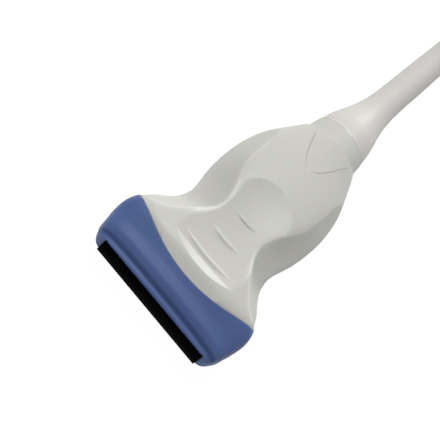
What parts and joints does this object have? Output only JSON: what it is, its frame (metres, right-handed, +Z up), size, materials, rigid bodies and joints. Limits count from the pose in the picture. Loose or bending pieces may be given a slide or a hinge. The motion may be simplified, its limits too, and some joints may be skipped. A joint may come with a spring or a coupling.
{
  "type": "linear array ultrasound transducer probe",
  "caption": "Hand-held linear array transducer with a wide flat nose, waisted handle with thumb scoops, tapered strain relief, coiled cable and locking system connector.",
  "frame": {"origin": "bottom centre of the probe's own box (handle with lens and strain relief, without the cable and what is on it), on the surface that it lies on", "axes": "+Y from the nose to the cable, along the probe; +X across the nose, towards the orientation mark; +Z up"},
  "size_m": [0.0975, 0.3267, 0.035],
  "materials": {
    "lens_rubber": "satin moulded silicone",
    "nose_plastic": "fine satin, moulded",
    "handle_plastic": "fine matte texture, moulded",
    "collar_plastic": "smooth satin, moulded",
    "boot_rubber": "smooth matte, moulded",
    "cable_sheath": "smooth matte, extruded",
    "connector_plastic": "fine matte texture, moulded",
    "frame_metal": "satin die casting",
    "contact_plastic": "glass-filled, moulded",
    "knob_plastic": "fine matte, moulded",
    "steel": "turned",
    "seal_rubber": "moulded",
    "inner_plastic": "moulded",
    "carrier_metal": "machined",
    "shield_metal": "tinned, folded",
    "board_laminate": "solder resist",
    "flex_film": "polyimide film",
    "ceramic": "diced ceramic",
    "filled_resin": "filled epoxy",
    "wire_bundle": "fine coax wires"
  },
  "bodies": {
    "probe": {"acoustic_lens": "lens_rubber", "array_carrier": "carrier_metal", "backing_block": "filled_resin", "board_frame": "inner_plastic", "board_screw_1": "steel", "board_screw_2": "steel", "board_screw_3": "steel", "board_screw_4": "steel", "cable": "cable_sheath", "cable_clamp_lower": "carrier_metal", "cable_clamp_upper": "carrier_metal", "cable_coil": "cable_sheath", "cable_jacket": "cable_sheath", "cable_tail": "cable_sheath", "clamp_screw_1": "steel", "clamp_screw_2": "steel", "coax_fan_lower": "wire_bundle", "coax_fan_upper": "wire_bundle", "connector_board": "board_laminate", "connector_boot": "boot_rubber", "connector_frame": "frame_metal", "connector_gasket": "seal_rubber", "connector_housing_lower": "connector_plastic", "connector_housing_upper": "connector_plastic", "connector_screw_1": "steel", "connector_screw_2": "steel", "connector_screw_3": "steel", "connector_screw_4": "steel", "contact_block": "contact_plastic", "flex_circuit_lower": "flex_film", "flex_circuit_upper": "flex_film", "handle_shell_bottom": "handle_plastic", "handle_shell_top": "handle_plastic", "interface_board_lower": "board_laminate", "interface_board_upper": "board_laminate", "matching_layer_inner": "filled_resin", "matching_layer_outer": "filled_resin", "nose_piece": "nose_plastic", "nose_seal": "seal_rubber", "piezo_array": "ceramic", "rear_collar": "collar_plastic", "shield_can_lower": "shield_metal", "shield_can_upper": "shield_metal", "strain_relief": "boot_rubber"},
    "lock": {"lock_knob": "knob_plastic", "lock_shaft": "steel"}
  },
  "joints": [
    {"name": "lock_turn", "type": "hinge", "parent": "probe", "child": "lock", "pos_m": [0.011, 0.22022, 0.0175], "axis": [0, 1, 0], "range_deg": [0, 90]}
  ]
}
